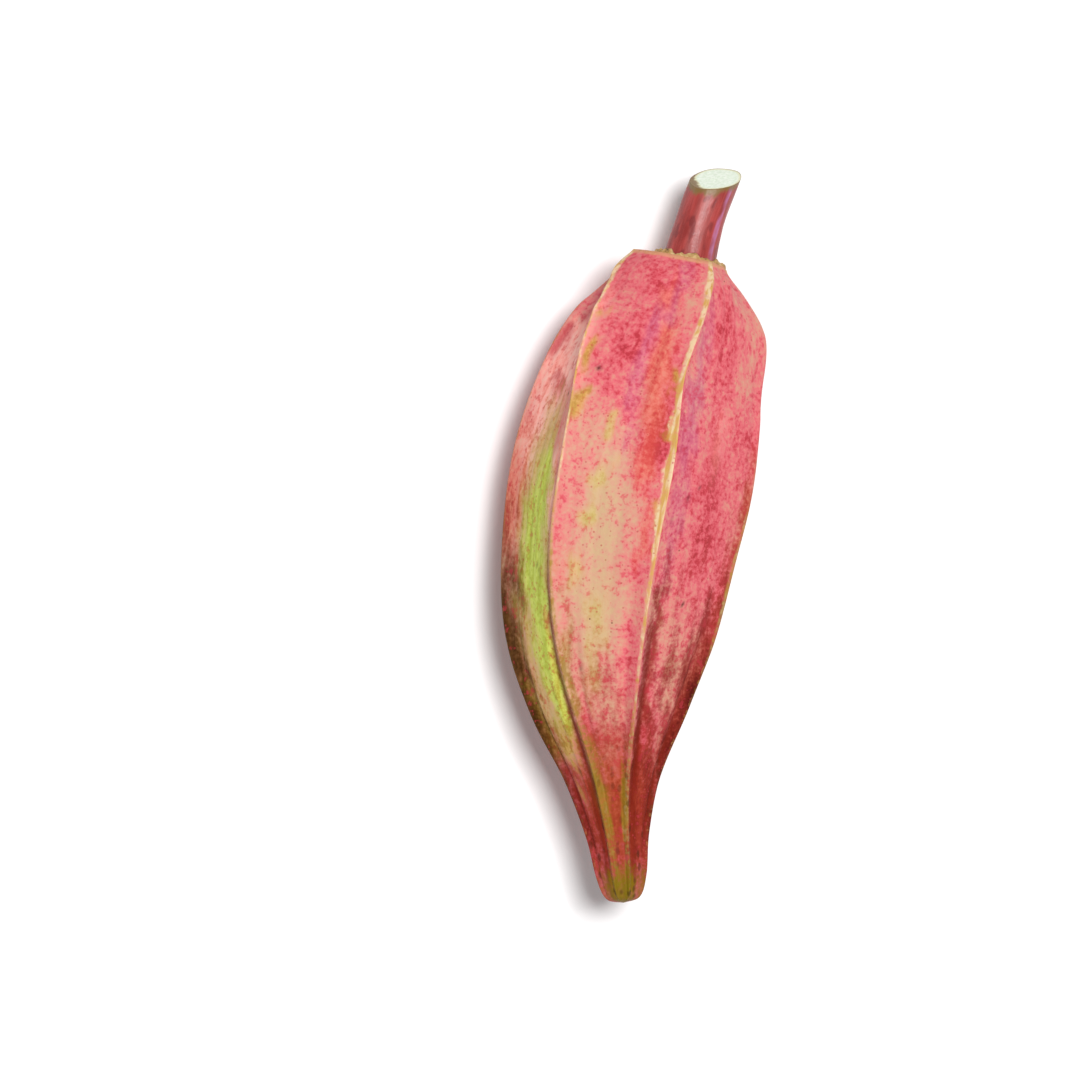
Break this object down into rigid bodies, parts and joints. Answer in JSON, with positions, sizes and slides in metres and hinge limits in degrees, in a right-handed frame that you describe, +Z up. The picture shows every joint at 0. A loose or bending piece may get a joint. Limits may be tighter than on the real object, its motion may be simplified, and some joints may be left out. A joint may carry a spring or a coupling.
{
  "type": "okra pod",
  "caption": "Ribbed red okra pod lying on its side, with a blunt tip, a dried calyx scar and a cut stalk.",
  "frame": {"origin": "on the surface that the pod lies on, under the middle of its bounding box", "axes": "+Y from the tip to the stalk, +X to the right seen from above with the stalk at the top, +Z up"},
  "size_m": [0.0416, 0.1132, 0.034],
  "materials": {
    "pod_skin": "matte skin, salmon pink mottled with crimson, with cream rib lines",
    "calyx_scar": "dry, rough, cream to brown",
    "stem_skin": "satin, rose red with a pale cut face"
  },
  "bodies": {
    "root": {"pod": "pod_skin", "calyx_scar": "calyx_scar", "stem": "stem_skin"}
  },
  "joints": []
}
